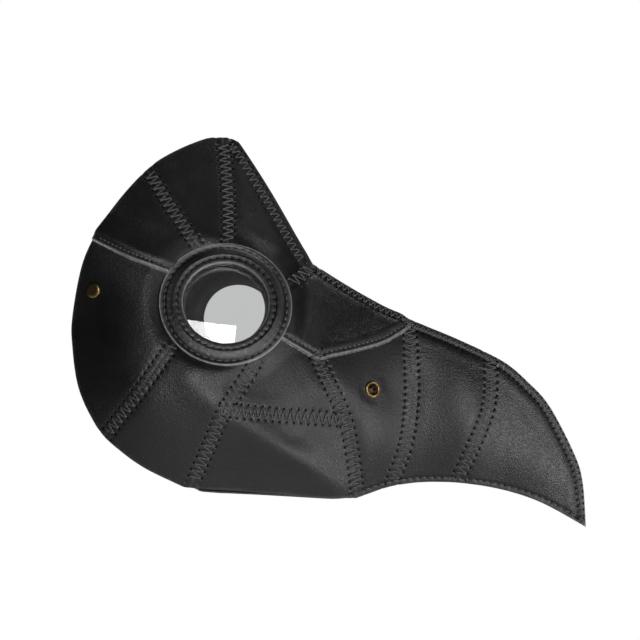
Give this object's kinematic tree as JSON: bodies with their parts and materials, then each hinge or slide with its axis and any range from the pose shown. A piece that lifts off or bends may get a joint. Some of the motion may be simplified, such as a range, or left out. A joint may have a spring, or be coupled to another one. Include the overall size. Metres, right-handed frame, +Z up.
{
  "type": "plague doctor mask",
  "caption": "Black leather beak mask in two sewn halves with round padded eye rings, clear lenses, brass vent eyelets and a buckled head strap.",
  "frame": {"origin": "midway between the two temple rivets, at the level of the wearer's temples", "axes": "+X forward to the beak tip, +Y to the wearer's left, +Z up as worn"},
  "size_m": [0.2909, 0.1256, 0.2273],
  "materials": {
    "leather": "black coated leather, fine grain, semi-matt",
    "ring_leather": "black coated leather, smooth, satin",
    "strap_leather": "black leather strap, satin",
    "thread": "black waxed polyester thread",
    "padding": "dark foam",
    "lens": "clear flat plastic",
    "brass": "antique brass, satin"
  },
  "bodies": {
    "mask": {"forehead_front_right": "leather", "forehead_front_left": "leather", "forehead_middle_right": "leather", "forehead_middle_left": "leather", "forehead_rear_right": "leather", "forehead_rear_left": "leather", "temple_right": "leather", "temple_left": "leather", "lower_cheek_right": "leather", "lower_cheek_left": "leather", "cheek_front_right": "leather", "cheek_front_left": "leather", "jaw_right": "leather", "jaw_left": "leather", "bridge_right": "leather", "bridge_left": "leather", "beak_base_right": "leather", "beak_base_left": "leather", "beak_middle_right": "leather", "beak_middle_left": "leather", "beak_tip_right": "leather", "beak_tip_left": "leather", "eye_ring_right": "ring_leather", "eye_ring_padding_right": "padding", "lens_right": "lens", "lens_retainer_right": "ring_leather", "vent_eyelet_right": "brass", "vent_eyelet_washer_right": "brass", "temple_rivet_right": "brass", "temple_rivet_burr_right": "brass", "eye_ring_left": "ring_leather", "eye_ring_padding_left": "padding", "lens_left": "lens", "lens_retainer_left": "ring_leather", "vent_eyelet_left": "brass", "vent_eyelet_washer_left": "brass", "temple_rivet_left": "brass", "temple_rivet_burr_left": "brass"},
    "long_strap": {"long_strap": "strap_leather"},
    "short_strap": {"short_strap": "strap_leather"},
    "keeper": {"strap_keeper": "strap_leather"},
    "buckle": {"buckle_frame": "brass"},
    "pin": {"buckle_pin": "brass"}
  },
  "joints": [
    {"name": "long_strap_swivel", "type": "hinge", "parent": "mask", "child": "long_strap", "pos_m": [0, -0.05, 0], "axis": [0.3994, 0.9161, 0.0343], "range_deg": [0, 150]},
    {"name": "short_strap_swivel", "type": "hinge", "parent": "mask", "child": "short_strap", "pos_m": [0, 0.05, 0], "axis": [-0.3994, 0.9161, -0.0343], "range_deg": [0, 150]},
    {"name": "keeper_slide", "type": "slide", "parent": "short_strap", "child": "keeper", "axis": [0.7698, -0.1996, -0.6063], "range_m": [0, 0.014]},
    {"name": "buckle_hinge", "type": "hinge", "parent": "short_strap", "child": "buckle", "pos_m": [0.04436, 0.04231, -0.03657], "axis": [-0.6369, -0.3042, -0.7084], "range_deg": [-25, 40]},
    {"name": "pin_hinge", "type": "hinge", "parent": "buckle", "child": "pin", "pos_m": [0.04436, 0.04231, -0.03657], "axis": [-0.6369, -0.3042, -0.7084], "range_deg": [0, 70]}
  ]
}
